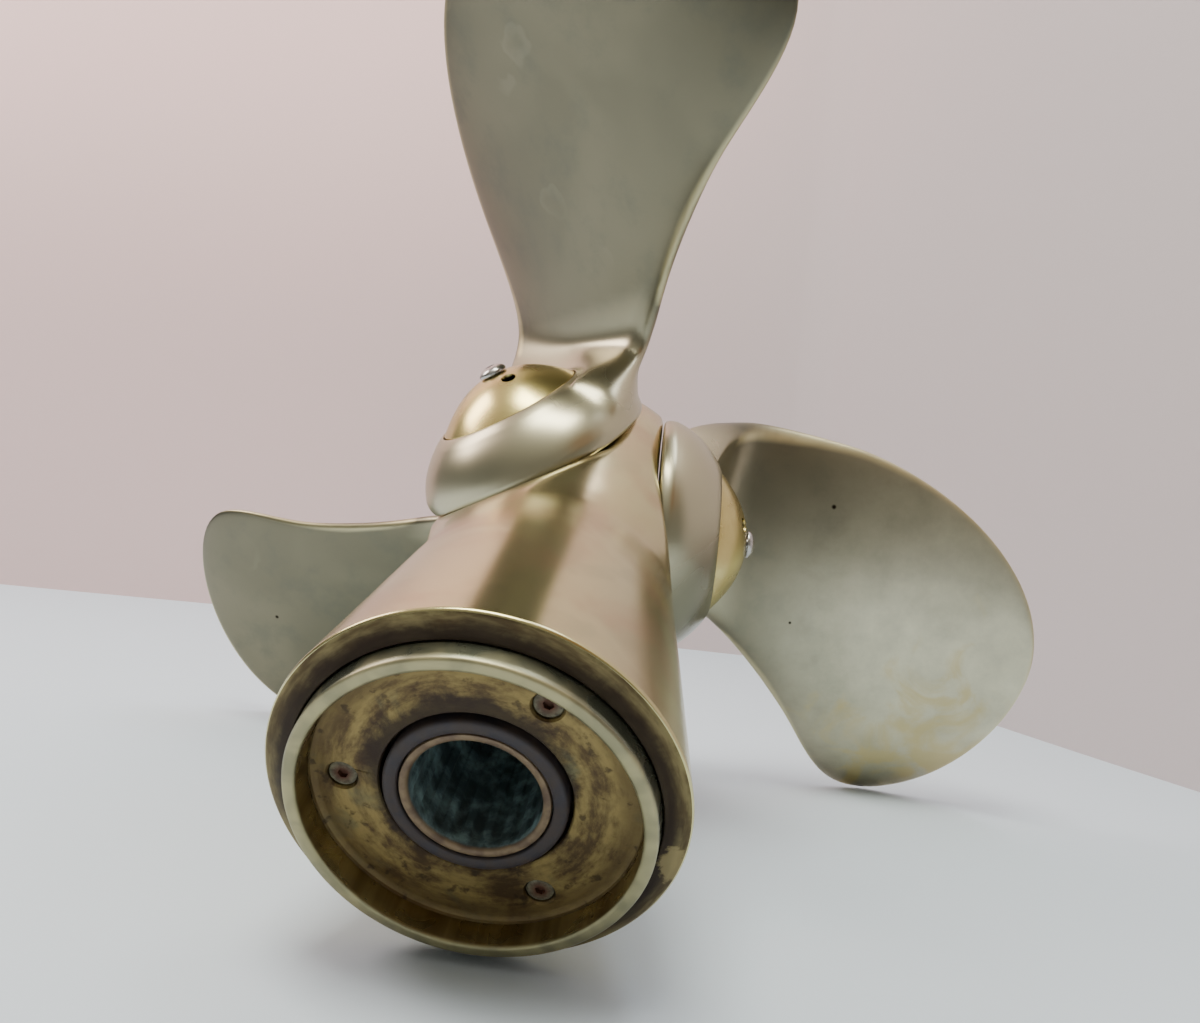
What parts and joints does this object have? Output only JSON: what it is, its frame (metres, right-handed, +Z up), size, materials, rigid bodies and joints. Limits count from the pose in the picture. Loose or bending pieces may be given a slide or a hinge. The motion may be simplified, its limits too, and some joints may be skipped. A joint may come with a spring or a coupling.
{
  "type": "boat propeller",
  "caption": "Self-pitching boat propeller: a tapered bronze hub with three curved blades, each free to turn on its own pivot under a domed cap.",
  "frame": {"origin": "on the table, below the middle of the standing propeller's outer box", "axes": "+Z up; the hub's large end faces -Y and leans down; the blades stand towards +Y"},
  "size_m": [0.3824, 0.276, 0.3048],
  "materials": {
    "bright_steel": "machined steel",
    "copper_liner": "copper coloured liner, teal patina in the bore",
    "dark_bush": "dark bonded bush with purplish stain",
    "golden_bronze": "polished golden bronze",
    "mottled_bronze": "mottled brown patina",
    "polished_bronze": "polished cast bronze",
    "rusty_screw": "rusty countersunk screw",
    "satin_bronze": "satin brushed cast bronze",
    "stainless_steel": "stainless screw",
    "worn_bronze": "worn greenish bronze"
  },
  "bodies": {
    "hub": {"bore_liner": "copper_liner", "disc_screw_1": "rusty_screw", "disc_screw_2": "rusty_screw", "disc_screw_3": "rusty_screw", "end_disc": "mottled_bronze", "hub_body": "polished_bronze", "pivot_pin_1": "bright_steel", "pivot_pin_2": "bright_steel", "pivot_pin_3": "bright_steel", "sleeve": "dark_bush", "spigot": "worn_bronze"},
    "blade_unit_1": {"blade_1": "satin_bronze", "cap_1": "golden_bronze", "cap_screw_1": "stainless_steel"},
    "blade_unit_2": {"blade_2": "satin_bronze", "cap_2": "golden_bronze", "cap_screw_2": "stainless_steel"},
    "blade_unit_3": {"blade_3": "satin_bronze", "cap_3": "golden_bronze", "cap_screw_3": "stainless_steel"}
  },
  "joints": [
    {"name": "top_blade_turn", "type": "hinge", "parent": "hub", "child": "blade_unit_1", "pos_m": [-0.00207, 0.02207, 0.11096], "axis": [-0.4852, -0.3275, 0.8107], "continuous": true},
    {"name": "right_blade_turn", "type": "hinge", "parent": "hub", "child": "blade_unit_2", "pos_m": [-0.00207, 0.02207, 0.11096], "axis": [0.9987, 0.0511, 0.0061], "continuous": true},
    {"name": "left_blade_turn", "type": "hinge", "parent": "hub", "child": "blade_unit_3", "pos_m": [-0.00207, 0.02207, 0.11096], "axis": [-0.5134, 0.4089, -0.7544], "continuous": true}
  ]
}
